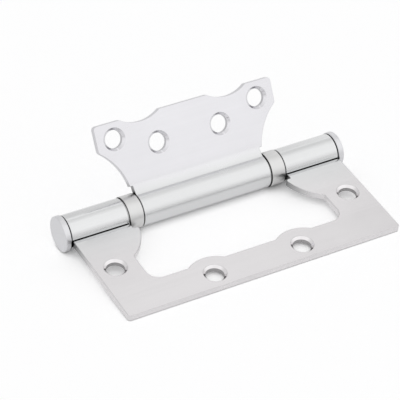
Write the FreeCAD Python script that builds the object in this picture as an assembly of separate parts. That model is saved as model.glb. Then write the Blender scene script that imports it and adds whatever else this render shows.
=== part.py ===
import FreeCAD, Part
import math
import os

# Sheet, pin and fits
SHEET = 2.2
PIN_RADIUS = 3.4
PIN_CLEARANCE = 0.05
SEAT_CLEARANCE = 0.02
RUNNING_GAP = 0.45
EDGE_BREAK = 0.2

# Layout along the pin
LEAF_LENGTH = 100.0
MIDDLE_KNUCKLE = 47.65
BEARING_WIDTH = 4.85
CAP_GAP = 0.25

# Rolled knuckles
BEND_RADIUS = 2.6
SEAM_GAP = 0.1
STRIP_LAP = 1.0

# Inner leaf, measured from the pin axis
INNER_REACH = 30.1
INNER_WIDTH = 65.9
INNER_NECK = 8.05
NECK_STEP = 1.0
WING_RADIUS = 21.3
WING_DROP = 3.75
SHOULDER_ROUND = 1.5
INNER_CORNER = 1.2
DIP_RADIUS = 13.05
DIP_DEPTH = 2.23

# Outer leaf, measured from the pin axis
OUTER_REACH = 43.5
OUTER_NECK = 8.2
OUTER_CORNER = 1.0
SIDE_GAP = 2.6
END_GAP = 2.0
CUTOUT_CORNER = 4.3
EAR_ROUND = 0.9

# Screw holes
HOLE_RADIUS = 3.0
COUNTERSINK_RADIUS = 3.85
OUTER_WIDE_ROW = 22.13
OUTER_WIDE_MARGIN = 6.67
OUTER_CLOSE_MARGIN = 5.92
OUTER_CLOSE_SPACING = 32.28
INNER_WIDE_MARGIN = 5.6
INNER_WIDE_SPACING = 53.06
INNER_CLOSE_STEP = 4.91
INNER_CLOSE_SPACING = 23.02

# Bearing rings
SLEEVE_PROUD = 0.2
SLEEVE_WALL = 0.5
BALL_RADIUS = 0.65
BALL_PLAY = 0.03
BALL_COUNT = 7
BALL_RINGS = 4
BALL_SIDES = 8
CAGE_THICKNESS = 0.5
CAGE_WALL = 0.15
RACE_CLEARANCE = 0.1

# End caps
CAP_PROUD = 0.3
CAP_THICKNESS = 2.1
CAP_BREAK = 0.3
SPIGOT_LENGTH = 3.0

# Angle of the inner leaf above the outer leaf's plane as it stands
REST_ANGLE = 56.3

BORE_RADIUS = PIN_RADIUS + PIN_CLEARANCE
BARREL_RADIUS = BORE_RADIUS + SHEET
HALF_SHEET = SHEET / 2
HALF_LENGTH = LEAF_LENGTH / 2
HALF_MIDDLE = MIDDLE_KNUCKLE / 2
END_KNUCKLE_START = HALF_MIDDLE + BEARING_WIDTH + 2 * RUNNING_GAP
OUTER_WIDE_SPACING = LEAF_LENGTH - 2 * OUTER_WIDE_MARGIN
OUTER_CLOSE_ROW = OUTER_REACH - OUTER_CLOSE_MARGIN
INNER_WIDE_ROW = INNER_REACH - INNER_WIDE_MARGIN
INNER_CLOSE_ROW = INNER_WIDE_ROW - INNER_CLOSE_STEP
X_AXIS = FreeCAD.Vector(1, 0, 0)
Z_AXIS = FreeCAD.Vector(0, 0, 1)
PIN_CENTRE = FreeCAD.Vector(0, 0, 0)


def rod(start, end, radius):
    """Solid cylinder on the pin axis between two places along it."""
    base = FreeCAD.Vector(start, 0, 0)
    return Part.makeCylinder(radius, end - start, base, X_AXIS)


def tube(start, end, outer, inner):
    """Ring on the pin axis."""
    return rod(start, end, outer).cut(rod(start, end, inner))


def flat_face(corners):
    """Flat face with straight sides."""
    return Part.Face(Part.makePolygon(corners + corners[:1]))


def post(radius, x, reach):
    """Upright cylinder that passes through a leaf's sheet."""
    base = FreeCAD.Vector(x, reach, -SHEET)
    return Part.makeCylinder(radius, 2 * SHEET, base, Z_AXIS)


def slab(half_width, near, far):
    """Flat piece of sheet, from near to far of the pin axis."""
    corner = FreeCAD.Vector(-half_width, near, -HALF_SHEET)
    return Part.makeBox(2 * half_width, far - near, SHEET, corner)


def on_circle(centre, radius, angle):
    """Point of the knuckle's section, angle in degrees from the leaf."""
    a = math.radians(angle)
    return FreeCAD.Vector(0, centre.y + radius * math.cos(a), centre.z + radius * math.sin(a))


def arc(centre, radius, start, end):
    """Arc of the knuckle's section between two angles in degrees."""
    ends = [on_circle(centre, radius, a) for a in (start, (start + end) / 2, end)]
    return Part.Arc(*ends).toShape()


def knuckle_section(strip_end):
    """Section of a sheet that dips off its own plane, then rolls round the bore to end at the leaf.

    The leaf lies along +Y with its middle plane through the pin axis.
    """
    roll = BORE_RADIUS + HALF_SHEET
    bend = BEND_RADIUS + HALF_SHEET
    bend_start = math.sqrt(roll * (2 * bend + roll))
    bend_centre = FreeCAD.Vector(0, bend_start, -bend)
    meet = math.degrees(math.atan2(-bend, bend_start))
    lip = math.degrees(math.asin((HALF_SHEET + SEAM_GAP) / BARREL_RADIUS))
    roll_end = lip - 360
    under = arc(bend_centre, BEND_RADIUS, 90, 180 + meet)
    outside = arc(PIN_CENTRE, BARREL_RADIUS, meet, roll_end)
    inside = arc(PIN_CENTRE, BORE_RADIUS, roll_end, meet)
    over = arc(bend_centre, BEND_RADIUS + SHEET, 180 + meet, 90)
    low = FreeCAD.Vector(0, strip_end, -HALF_SHEET)
    high = FreeCAD.Vector(0, strip_end, HALF_SHEET)
    edges = [
        Part.makeLine(low, under.valueAt(under.FirstParameter)),
        under,
        outside,
        Part.makeLine(on_circle(PIN_CENTRE, BARREL_RADIUS, lip), on_circle(PIN_CENTRE, BORE_RADIUS, lip)),
        inside,
        over,
        Part.makeLine(FreeCAD.Vector(0, bend_start, HALF_SHEET), high),
        Part.makeLine(high, low),
    ]
    return Part.Face(Part.Wire(Part.__sortEdges__(edges)))


def knuckle(start, end, neck):
    """One rolled knuckle with the strip of sheet that runs into the leaf, seam on the leaf's upper face."""
    solid = knuckle_section(neck + STRIP_LAP).extrude(X_AXIS * (end - start))
    solid.translate(X_AXIS * start)
    return solid


def round_posts(solid, corners, radius):
    """Round the upright edges that stand at the given corners."""
    picked = []
    for edge in solid.Edges:
        centre = edge.BoundBox.Center
        upright = edge.BoundBox.ZLength > HALF_SHEET
        if upright and any(math.hypot(centre.x - x, centre.y - y) < EDGE_BREAK for x, y in corners):
            picked.append(edge)
    return solid.makeFillet(radius, picked)


def break_outline(solid, neck):
    """Chamfer the outline edges of a flat leaf, apart from the side that runs into its knuckles."""
    picked = []
    for edge in solid.Edges:
        box = edge.BoundBox
        flat = box.ZLength < EDGE_BREAK
        if flat and box.YMax > neck + EDGE_BREAK:
            picked.append(edge)
    return solid.makeChamfer(EDGE_BREAK, picked)


def countersunk_holes(solid, spacing, row):
    """Cut a pair of screw holes with their wide ends on the leaf's upper face."""
    depth = COUNTERSINK_RADIUS - HOLE_RADIUS
    for x in (-spacing / 2, spacing / 2):
        seat = FreeCAD.Vector(x, row, HALF_SHEET - depth)
        cone = Part.makeCone(HOLE_RADIUS, COUNTERSINK_RADIUS, depth, seat, Z_AXIS)
        solid = solid.cut(post(HOLE_RADIUS, x, row)).cut(cone)
    return solid


def wing_centre():
    """Centre of the arc of the inner leaf's wing, on the +X side."""
    neck_half = HALF_MIDDLE + NECK_STEP
    run = math.sqrt(WING_RADIUS ** 2 - WING_DROP ** 2)
    return neck_half + run, INNER_NECK - WING_DROP


def both_sides(x, reach, radius):
    """Pair of upright cylinders, mirrored about mid-length."""
    return post(radius, x, reach).fuse(post(radius, -x, reach))


def mirrored(corners):
    """Corners on both sides of mid-length."""
    return [(side * x, y) for x, y in corners for side in (-1, 1)]


def make_inner_leaf():
    """Leaf that nests in the outer leaf's cut-out, with the middle knuckle, whose seam is at the back."""
    half = INNER_WIDTH / 2
    centre_x, centre_y = wing_centre()
    shoulder = centre_y + math.sqrt(WING_RADIUS ** 2 - (centre_x - half) ** 2)
    hole_x = OUTER_CLOSE_SPACING / 2
    leaf = slab(half, INNER_NECK, INNER_REACH)
    leaf = leaf.cut(both_sides(centre_x, centre_y, WING_RADIUS))
    leaf = leaf.cut(both_sides(hole_x, INNER_REACH - DIP_DEPTH + DIP_RADIUS, DIP_RADIUS))
    leaf = round_posts(leaf, mirrored([(half, shoulder)]), SHOULDER_ROUND)
    leaf = round_posts(leaf, mirrored([(half, INNER_REACH)]), INNER_CORNER)
    leaf = break_outline(leaf, INNER_NECK)
    roll = knuckle(-HALF_MIDDLE, HALF_MIDDLE, INNER_NECK).mirror(PIN_CENTRE, Z_AXIS)
    leaf = leaf.fuse(roll).removeSplitter()
    leaf = countersunk_holes(leaf, INNER_WIDE_SPACING, INNER_WIDE_ROW)
    leaf = countersunk_holes(leaf, INNER_CLOSE_SPACING, INNER_CLOSE_ROW)
    leaf.rotate(PIN_CENTRE, X_AXIS, REST_ANGLE)
    return leaf


def make_cutout():
    """Opening in the outer leaf: the inner leaf's outline with a gap all round."""
    half = INNER_WIDTH / 2 + SIDE_GAP
    far = INNER_REACH + END_GAP
    centre_x, centre_y = wing_centre()
    hole_x = OUTER_CLOSE_SPACING / 2
    opening = slab(half, OUTER_NECK - SHEET, far)
    opening = round_posts(opening, mirrored([(half, far)]), CUTOUT_CORNER)
    opening = opening.cut(both_sides(centre_x, centre_y, WING_RADIUS - SIDE_GAP))
    bump_radius = DIP_RADIUS - END_GAP
    opening = opening.cut(both_sides(hole_x, INNER_REACH - DIP_DEPTH + DIP_RADIUS, bump_radius))
    return opening


def make_outer_leaf():
    """Leaf with the cut-out, its free edge furthest from the pin, and the two end knuckles."""
    half = INNER_WIDTH / 2 + SIDE_GAP
    centre_x, centre_y = wing_centre()
    ear_radius = WING_RADIUS - SIDE_GAP
    ear_tip = centre_x - math.sqrt(ear_radius ** 2 - (OUTER_NECK - centre_y) ** 2)
    ear_top = centre_y + math.sqrt(ear_radius ** 2 - (centre_x - half) ** 2)
    leaf = slab(HALF_LENGTH, OUTER_NECK, OUTER_REACH).cut(make_cutout())
    leaf = round_posts(leaf, mirrored([(HALF_LENGTH, OUTER_REACH)]), OUTER_CORNER)
    leaf = round_posts(leaf, mirrored([(ear_tip, OUTER_NECK)]), EAR_ROUND)
    leaf = round_posts(leaf, mirrored([(half, ear_top)]), EAR_ROUND)
    leaf = break_outline(leaf, OUTER_NECK)
    for start, end in ((-HALF_LENGTH, -END_KNUCKLE_START), (END_KNUCKLE_START, HALF_LENGTH)):
        leaf = leaf.fuse(knuckle(start, end, OUTER_NECK))
    leaf = leaf.removeSplitter()
    leaf = countersunk_holes(leaf, OUTER_WIDE_SPACING, OUTER_WIDE_ROW)
    leaf = countersunk_holes(leaf, OUTER_CLOSE_SPACING, OUTER_CLOSE_ROW)
    leaf.rotate(PIN_CENTRE, Z_AXIS, 180)
    return leaf


def make_pin():
    """Straight pin that ends just short of the cap spigots."""
    reach = HALF_LENGTH + CAP_GAP - SPIGOT_LENGTH - RUNNING_GAP
    pin = rod(-reach, reach, PIN_RADIUS)
    return pin.makeChamfer(EDGE_BREAK, [e for e in pin.Edges if e.BoundBox.XLength < EDGE_BREAK])


def make_cap():
    """Flat button with a spigot that is pressed in the end knuckle, on the +X side."""
    inner = HALF_LENGTH + CAP_GAP
    button = rod(inner, inner + CAP_THICKNESS, BARREL_RADIUS + CAP_PROUD)
    rim = [e for e in button.Edges if e.BoundBox.XMin > inner + CAP_THICKNESS - CAP_BREAK]
    button = button.makeChamfer(CAP_BREAK, rim)
    return button.fuse(rod(inner - SPIGOT_LENGTH, inner, BORE_RADIUS - SEAT_CLEARANCE))


def make_sleeve():
    """Bearing ring that shows between two knuckles, on the +X side."""
    start = HALF_MIDDLE + RUNNING_GAP
    outer = BARREL_RADIUS + SLEEVE_PROUD
    return tube(start, start + BEARING_WIDTH, outer, outer - SLEEVE_WALL)


def ball_plane():
    """Place of the ring of balls along the pin, on the +X side."""
    return (HALF_MIDDLE + END_KNUCKLE_START) / 2


def race_space():
    """Distance from the ball plane to a race."""
    return BALL_RADIUS + BALL_PLAY


def inner_race_radius():
    """Outside radius of the race that turns inside the sleeve."""
    return BARREL_RADIUS + SLEEVE_PROUD - SLEEVE_WALL - RACE_CLEARANCE


def pitch_radius():
    """Radius of the circle that the balls run on."""
    return (BORE_RADIUS + inner_race_radius()) / 2


def make_inner_race():
    """Race that turns with the middle knuckle, on the +X side."""
    return tube(HALF_MIDDLE, ball_plane() - race_space(), inner_race_radius(), BORE_RADIUS)


def make_outer_race():
    """Race that is fixed against the end knuckle and carries the sleeve, on the +X side."""
    radius = BARREL_RADIUS + SLEEVE_PROUD - SLEEVE_WALL - SEAT_CLEARANCE
    return tube(ball_plane() + race_space(), END_KNUCKLE_START, radius, BORE_RADIUS)


def ball_centre(index):
    """Centre of one ball, on the +X side."""
    angle = 2 * math.pi * index / BALL_COUNT
    return FreeCAD.Vector(ball_plane(), pitch_radius() * math.cos(angle), pitch_radius() * math.sin(angle))


def ball_ring(centre, along, radius):
    """Corners of a regular polygon square to the pin, at a distance along it from a ball's centre."""
    angles = [2 * math.pi * side / BALL_SIDES for side in range(BALL_SIDES)]
    return [centre + FreeCAD.Vector(along, radius * math.cos(a), radius * math.sin(a)) for a in angles]


def make_cage():
    """Thin ring with a pocket for each ball, on the +X side."""
    pocket = BALL_RADIUS + BALL_PLAY
    rim = pocket + CAGE_WALL
    start = ball_plane() - CAGE_THICKNESS / 2
    cage = tube(start, start + CAGE_THICKNESS, pitch_radius() + rim, pitch_radius() - rim)
    for index in range(BALL_COUNT):
        outline = ball_ring(ball_centre(index), -CAGE_THICKNESS, pocket)
        cage = cage.cut(flat_face(outline).extrude(X_AXIS * 2 * CAGE_THICKNESS))
    return cage


def make_ball(index):
    """One bearing ball with flat facets, which keep its mesh light, on the +X side."""
    centre = ball_centre(index)
    angles = [math.pi * (ring + 0.5) / BALL_RINGS for ring in range(BALL_RINGS)]
    rings = [ball_ring(centre, BALL_RADIUS * math.cos(a), BALL_RADIUS * math.sin(a)) for a in angles]
    facets = [flat_face(rings[0]), flat_face(rings[-1])]
    for near, far in zip(rings, rings[1:]):
        for side in range(BALL_SIDES):
            facets.append(flat_face([near[side - 1], near[side], far[side], far[side - 1]]))
    return Part.Solid(Part.Shell(facets))


def on_side(solid, side):
    """The solid as it is on the right, or its mirror image on the left."""
    if side == "right":
        return solid
    return solid.mirror(PIN_CENTRE, X_AXIS)


def save(name, solid):
    """Write one piece, with the origin on the outer leaf's back between its wide pair of holes."""
    placed = solid.copy()
    placed.translate(FreeCAD.Vector(0, OUTER_WIDE_ROW, HALF_SHEET))
    placed.exportStep("parts/" + name + ".step")


def main():
    """Write every piece of the hinge."""
    os.makedirs("parts", exist_ok=True)
    save("outer_leaf", make_outer_leaf())
    save("inner_leaf", make_inner_leaf())
    save("hinge_pin", make_pin())
    for side in ("left", "right"):
        save("end_cap_" + side, on_side(make_cap(), side))
        save("bearing_sleeve_" + side, on_side(make_sleeve(), side))
        save("outer_race_" + side, on_side(make_outer_race(), side))
        save("inner_race_" + side, on_side(make_inner_race(), side))
        save("ball_cage_" + side, on_side(make_cage(), side))
        for index in range(BALL_COUNT):
            save("ball_" + side + "_" + str(index + 1), on_side(make_ball(index), side))


main()
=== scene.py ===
import logging
import math
from dataclasses import dataclass, field
from enum import Enum

import bpy
import numpy as np
from mathutils.geometry import delaunay_2d_cdt
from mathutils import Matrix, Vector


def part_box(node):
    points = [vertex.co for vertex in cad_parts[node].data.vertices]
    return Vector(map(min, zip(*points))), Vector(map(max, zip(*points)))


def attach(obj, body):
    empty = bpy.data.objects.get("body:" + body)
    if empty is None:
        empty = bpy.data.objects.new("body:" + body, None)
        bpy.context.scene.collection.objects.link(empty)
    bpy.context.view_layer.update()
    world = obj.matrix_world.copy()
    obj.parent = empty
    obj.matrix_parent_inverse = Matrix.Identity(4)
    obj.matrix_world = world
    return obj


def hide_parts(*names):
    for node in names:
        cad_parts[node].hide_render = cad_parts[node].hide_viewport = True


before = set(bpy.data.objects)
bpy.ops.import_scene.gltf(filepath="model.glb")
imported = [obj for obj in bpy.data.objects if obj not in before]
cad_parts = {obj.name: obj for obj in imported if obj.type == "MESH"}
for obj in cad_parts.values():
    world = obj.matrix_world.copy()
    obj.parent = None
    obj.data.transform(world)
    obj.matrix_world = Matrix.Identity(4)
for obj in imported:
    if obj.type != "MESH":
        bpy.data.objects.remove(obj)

logging.basicConfig(level=logging.INFO, format="%(message)s")
LOG = logging.getLogger("hinge")

SIDES = ("left", "right")
MM = 0.001
WHITE = (1.0, 1.0, 1.0, 1.0)
NO_VALUES = np.zeros(0)
PLACE_TRAIT = "sheet_place"
ZONE_TRAIT = "sheet_zone"
# Rays that an Ambient Occlusion node sends
OPEN_SAMPLES = 8
# How near a rule a point of the outline counts as on it, in millimetres
TIE_TOLERANCE = 0.02
# Within what distance, in millimetres, the division into triangles merges points
MERGE_DISTANCE = 1e-7
# The division's mode that keeps the triangles inside the loops
INSIDE_ONLY = 1
# Numbers of a Mix node's sockets for colours, because its other kinds of value have the same names
MIX_SHARE, MIX_FIRST, MIX_SECOND, MIX_COLOUR = 0, 6, 7, 2


class Lay(Enum):
    """Direction that the finishing marks on a plain metal piece run in."""

    ROUND_PIN = "round_pin"
    NONE = "none"


class Dip(Enum):
    """Face of a leaf towards which its strip dips before it rolls round the pin."""

    TO_BACK = -1
    TO_FRONT = 1


@dataclass(frozen=True)
class PinLine:
    """The pin's axis in the row frame, in metres, worked out from the pin's own box."""

    y: float
    z: float
    radius: float

    @classmethod
    def from_frame(cls) -> "PinLine":
        """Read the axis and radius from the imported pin.

        Returns:
            The line, which runs along X.
        """
        low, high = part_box("hinge_pin")
        return cls(y=(low.y + high.y) / 2, z=(low.z + high.z) / 2, radius=(high.z - low.z) / 2)


def new_object(name: str, data: bpy.types.ID) -> bpy.types.Object:
    """Put an object in the scene.

    Args:
        name: Its name.
        data: Its mesh, lamp or camera.

    Returns:
        The object, at the origin.
    """
    thing = bpy.data.objects.new(name, data)
    bpy.context.scene.collection.objects.link(thing)
    return thing


@dataclass
class Surface:
    """A closed surface: points in millimetres, outward normals, and the corners of its faces."""

    points: np.ndarray
    normals: np.ndarray
    corners: np.ndarray
    sizes: np.ndarray
    traits: dict[str, np.ndarray] = field(default_factory=dict)

    def mirrored(self) -> "Surface":
        """Mirror the surface about mid-length, with its corners in reverse so that it still faces outwards."""
        flip = np.array([-1.0, 1.0, 1.0])
        return Surface(self.points * flip, self.normals * flip, self.corners[::-1], self.sizes[::-1], self.traits)

    @staticmethod
    def joined(parts: list["Surface"]) -> "Surface":
        """Put several surfaces in one.

        Args:
            parts: The surfaces, which stay apart from each other.

        Returns:
            One surface with all their faces.
        """
        firsts = np.cumsum([0] + [len(part.points) for part in parts[:-1]])
        return Surface(
            points=np.concatenate([part.points for part in parts]),
            normals=np.concatenate([part.normals for part in parts]),
            corners=np.concatenate([part.corners + first for part, first in zip(parts, firsts)]),
            sizes=np.concatenate([part.sizes for part in parts]),
        )

    def build(self, name: str, material: bpy.types.Material) -> bpy.types.Object:
        """Make the object.

        Args:
            name: The object's name.
            material: What it is made of.

        Returns:
            The object at the origin, shaded with the surface's own normals.
        """
        mesh = bpy.data.meshes.new(name)
        mesh.vertices.add(len(self.points))
        mesh.vertices.foreach_set("co", (self.points * MM).astype(np.float32).ravel())
        mesh.loops.add(len(self.corners))
        mesh.loops.foreach_set("vertex_index", np.ascontiguousarray(self.corners, dtype=np.int32))
        mesh.polygons.add(len(self.sizes))
        starts = np.concatenate([[0], np.cumsum(self.sizes)[:-1]])
        mesh.polygons.foreach_set("loop_start", starts.astype(np.int32))
        mesh.update(calc_edges=True)
        mesh.polygons.foreach_set("use_smooth", np.ones(len(self.sizes), dtype=bool))
        for trait, values in self.traits.items():
            layer = mesh.attributes.new(trait, "FLOAT_VECTOR", "POINT")
            layer.data.foreach_set("vector", values.astype(np.float32).ravel())
        mesh.normals_split_custom_set_from_vertices(self.normals.tolist())
        mesh.materials.append(material)
        return new_object(name, mesh)


def stand_for(thing: bpy.types.Object, body: str, slot: str, *nodes: str) -> None:
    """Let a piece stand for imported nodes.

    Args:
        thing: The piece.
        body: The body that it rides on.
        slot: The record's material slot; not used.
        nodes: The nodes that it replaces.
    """
    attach(thing, body)
    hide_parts(*nodes)
    LOG.info("%s stands for %s with %d faces", thing.name, ", ".join(nodes), len(thing.data.polygons))


def round_path(corners: np.ndarray, radii: np.ndarray, closed: bool, steps: int) -> tuple[np.ndarray, np.ndarray]:
    """Round the corners of a path in a plane.

    A corner with radius r and turn t gives way to an arc. The arc starts r * tan(|t| / 2) before the corner, on
    the line into it. Its point at angle a, from 0 to |t|, is that start plus r * sin(a) along the line and
    r * (1 - cos(a)) towards the side that the path turns to. A corner with no radius stays one point.

    Args:
        corners: Array of corners by 2.
        radii: Radius at each corner.
        closed: True where the last corner runs on to the first.
        steps: Lengths in each arc.

    Returns:
        The path's points, and its heading at each of them in radians.
    """
    into = corners - np.roll(corners, 1, axis=0)
    away = np.roll(corners, -1, axis=0) - corners
    if not closed:
        into[0] = away[0]
        away[-1] = into[-1]
    into = into / np.linalg.norm(into, axis=1, keepdims=True)
    away = away / np.linalg.norm(away, axis=1, keepdims=True)
    turn = np.arctan2(into[:, 0] * away[:, 1] - into[:, 1] * away[:, 0], (into * away).sum(axis=1))
    share = np.linspace(0.0, 1.0, steps + 1)
    rounded = radii[:, None] > 0
    swept = np.where(rounded, turn[:, None] * share, turn[:, None] / 2)
    left = np.stack([-into[:, 1], into[:, 0]], axis=1)
    start = corners - into * (radii * np.tan(np.abs(turn) / 2))[:, None]
    along = radii[:, None] * np.sin(np.abs(swept))
    aside = radii[:, None] * (1 - np.cos(swept)) * np.sign(turn)[:, None]
    points = start[:, None] + along[..., None] * into[:, None] + aside[..., None] * left[:, None]
    heading = np.arctan2(into[:, 1], into[:, 0])[:, None] + swept
    keep = rounded | (share == 0)
    return points[keep], heading[keep]


def on_circle(radius: float, angle: np.ndarray) -> np.ndarray:
    """Points of a circle round the origin: radius * (cos(a), sin(a)) for each angle a."""
    return radius * np.stack([np.cos(angle), np.sin(angle)], axis=1)


def arc_points(
    centre: tuple[float, float], radius: float, first: float, last: float, chord: float, also: np.ndarray = NO_VALUES
) -> np.ndarray:
    """Points of an arc, the ends among them.

    The point at angle a is the centre plus radius * (cos(a), sin(a)).

    Args:
        centre: The arc's centre.
        radius: Its radius.
        first: Angle of its first point, in radians.
        last: Angle of its last point, in radians.
        chord: Distance between points, at least.
        also: Angles that must have a point, which take the place of the even ones near them.

    Returns:
        Array of points by 2.
    """
    count = max(2, int(radius * abs(last - first) / chord))
    even = np.linspace(first, last, count + 1)
    near = (np.abs(even[:, None] - also) * radius < chord / 2).any(axis=1)
    near[[0, -1]] = False
    angle = np.sort(np.concatenate([even[~near], also]))
    angle = angle if last > first else angle[::-1]
    return np.array(centre) + on_circle(radius, angle)


@dataclass(frozen=True)
class Turning:
    """A profile turned about a line along X, as a lathe makes it. The material is on the profile's left."""

    corners: tuple[tuple[float, float, float], ...]
    ring: bool
    sides: int = 120
    steps: int = 6

    def surface(self, y: float, z: float) -> Surface:
        """Turn the profile.

        The point at length x and radius r of the profile goes to (x, y + r * cos(a), z + r * sin(a)) for angles
        a all round. Where the profile isn't a ring, its first and last circles are filled with flat faces.

        Args:
            y: Place of the line, in millimetres.
            z: Place of the line, in millimetres.

        Returns:
            The closed surface.
        """
        profile = np.array(self.corners, dtype=float)
        path, heading = round_path(profile[:, :2], profile[:, 2], self.ring, self.steps)
        angle = np.linspace(0.0, 2 * np.pi, self.sides, endpoint=False)
        round_y, round_z = np.cos(angle), np.sin(angle)
        length = np.repeat(path[:, :1], self.sides, axis=1)
        points = np.stack([length, y + path[:, 1:] * round_y, z + path[:, 1:] * round_z], axis=-1)
        outward = -np.cos(heading)[:, None]
        flat = np.repeat(np.sin(heading)[:, None], self.sides, axis=1)
        normals = np.stack([flat, outward * round_y, outward * round_z], axis=-1)
        index = np.arange(len(path) * self.sides).reshape(len(path), self.sides)
        rows = np.concatenate([index, index[:1]]) if self.ring else index
        beside = np.roll(rows, -1, axis=1)
        quads = np.stack([rows[:-1], rows[1:], beside[1:], beside[:-1]], axis=-1).reshape(-1, 4)
        corners = [quads.ravel()]
        sizes = [np.full(len(quads), 4)]
        if not self.ring:
            corners += [index[0], index[-1][::-1]]
            sizes.append(np.full(2, self.sides))
        return Surface(points.reshape(-1, 3), normals.reshape(-1, 3), np.concatenate(corners), np.concatenate(sizes))


@dataclass(frozen=True)
class Edge:
    """Profile of a cut through a sheet, from its front face over the cut to its back face.

    Each corner is a distance out of the material, a height, and the radius that breaks it. The first and last
    corners only give the faces' direction.
    """

    corners: tuple[tuple[float, float, float], ...]
    zones: tuple[tuple[int, int, int], ...]
    steps: int = 4

    @classmethod
    def sheared(cls, half: float, broken: float, steps: int = 4) -> "Edge":
        """Straight wall of a sheet with the given half thickness, with both corners broken alike."""
        return cls(((-1, half, 0), (0, half, broken), (0, -half, broken), (-1, -half, 0)), ((1, 0, 0),), steps)

    def profile(self) -> tuple[np.ndarray, np.ndarray, np.ndarray]:
        """Work out the profile.

        Returns:
            Its points, its outward normals, and at each point how much of it is a sheared wall, a countersink
            and a bore, from 0 to 1. A wall's share rises along the rounding before it and falls along the next.
        """
        corners = np.array(self.corners)
        path, heading = round_path(corners[:, :2], corners[:, 2], False, self.steps)
        ramp = np.linspace(0.0, 1.0, self.steps + 1)[None, :, None]
        walls = np.array(self.zones, dtype=float)
        blank = np.zeros((1, 3))
        before = np.concatenate([blank, walls])[:, None]
        after = np.concatenate([walls, blank])[:, None]
        shares = (before * (1 - ramp) + after * ramp).reshape(-1, 3)
        normals = np.stack([-np.sin(heading), np.cos(heading)], axis=1)
        return path[1:-1], normals[1:-1], shares


@dataclass(frozen=True)
class Cut:
    """One closed cut through a flat sheet, with the material on the left of its path."""

    path: np.ndarray
    heading: np.ndarray
    edge: Edge

    @classmethod
    def hole(cls, centre: np.ndarray | tuple[float, float], radius: float, sides: int, edge: Edge) -> "Cut":
        """Round hole, whose path runs clockwise."""
        angle = np.linspace(2 * np.pi, 0.0, sides, endpoint=False)
        return cls(on_circle(radius, angle) + centre, angle - np.pi / 2, edge)

    def grid(self) -> tuple[np.ndarray, np.ndarray, np.ndarray]:
        """Carry the edge's profile along the path.

        A profile point d out and h high goes to the path's point plus d times the normal on its right, at
        height h.

        Returns:
            Points, normals and zones, each an array of path points by profile points by 3.
        """
        profile, lean, zones = self.edge.profile()
        right = np.stack([np.sin(self.heading), -np.cos(self.heading)], axis=1)
        plan = self.path[:, None] + right[:, None] * profile[None, :, :1]
        height = np.broadcast_to(profile[None, :, 1:], plan.shape[:2] + (1,))
        side = right[:, None] * lean[None, :, :1]
        rise = np.broadcast_to(lean[None, :, 1:], side.shape[:2] + (1,))
        points = np.concatenate([plan, height], axis=-1)
        normals = np.concatenate([side, rise], axis=-1)
        return points, normals, np.broadcast_to(zones[None], points.shape)


def fill_flat(loops: list[np.ndarray], ties: np.ndarray) -> np.ndarray:
    """Divide the flat region between closed loops into triangles.

    A triangle of the constrained division is kept where a line from its middle along +X crosses the loops an
    odd number of times.

    Args:
        loops: Arrays of points by 2.
        ties: Pairs of points, numbered through all the loops, that an edge must join.

    Returns:
        Array of triangles by 3, numbered through all the loops and anticlockwise.
    """
    points = np.concatenate(loops)
    firsts = np.cumsum([0] + [len(loop) for loop in loops[:-1]])
    counts = [np.arange(len(loop)) for loop in loops]
    rims = np.concatenate([np.stack([n, np.roll(n, -1)], axis=1) + first for n, first in zip(counts, firsts)])
    edges = np.concatenate([rims, ties]).tolist()
    _, _, faces, origins, _, _ = delaunay_2d_cdt(points.tolist(), edges, [], INSIDE_ONLY, MERGE_DISTANCE)
    triangles = np.array([origin[0] for origin in origins])[np.array(faces)]
    middle = points[triangles].mean(axis=1)
    start, end = points[rims[:, 0]], points[rims[:, 1]]
    spans = (start[:, 1] > middle[:, 1:]) != (end[:, 1] > middle[:, 1:])
    rise = np.where(end[:, 1] == start[:, 1], 1.0, end[:, 1] - start[:, 1])
    meets = start[:, 0] + (middle[:, 1:] - start[:, 1]) * (end[:, 0] - start[:, 0]) / rise
    crossings = (spans & (middle[:, :1] < meets)).sum(axis=1)
    return triangles[crossings % 2 == 1]


def cut_sheet(cuts: list[Cut], rules: np.ndarray) -> Surface:
    """Make a flat sheet from the cuts that bound it.

    The walls carry each edge's profile along its path. The front and back are the flat regions between the
    first and the last columns of the walls.

    Args:
        cuts: The outline first, then the holes.
        rules: Distances from the pin at which an edge of the mesh must run straight across the sheet.

    Returns:
        The closed surface, with its flat place and its zones as traits.
    """
    grids = [cut.grid() for cut in cuts]
    points, normals, zones = (np.concatenate([rows.reshape(-1, 3) for rows in kind]) for kind in zip(*grids))
    walls, fronts, backs = [], [], []
    first = 0
    for places, _, _ in grids:
        index = first + np.arange(places.size // 3).reshape(places.shape[:2])
        first += index.size
        beside = np.roll(index, -1, axis=0)
        quads = np.stack([index[:, :-1], index[:, 1:], beside[:, 1:], beside[:, :-1]], axis=-1)
        walls.append(quads.reshape(-1, 4))
        fronts.append(index[:, 0])
        backs.append(index[:, -1])
    outline = points[fronts[0]]
    ties = [np.zeros((0, 2), dtype=int)]
    for rule in rules:
        level = np.flatnonzero(np.abs(outline[:, 1] - rule) < TIE_TOLERANCE)
        ties.append(level[np.argsort(outline[level, 0])].reshape(-1, 2))
    front, back = (
        np.concatenate(rims)[fill_flat([points[rim, :2] for rim in rims], np.concatenate(ties))]
        for rims in (fronts, backs)
    )
    quads = np.concatenate(walls)
    return Surface(
        points=points,
        normals=normals,
        corners=np.concatenate([quads.ravel(), front.ravel(), back[:, ::-1].ravel()]),
        sizes=np.concatenate([np.full(len(quads), 4), np.full(len(front) + len(back), 3)]),
        traits={PLACE_TRAIT: points * MM, ZONE_TRAIT: zones},
    )


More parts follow.
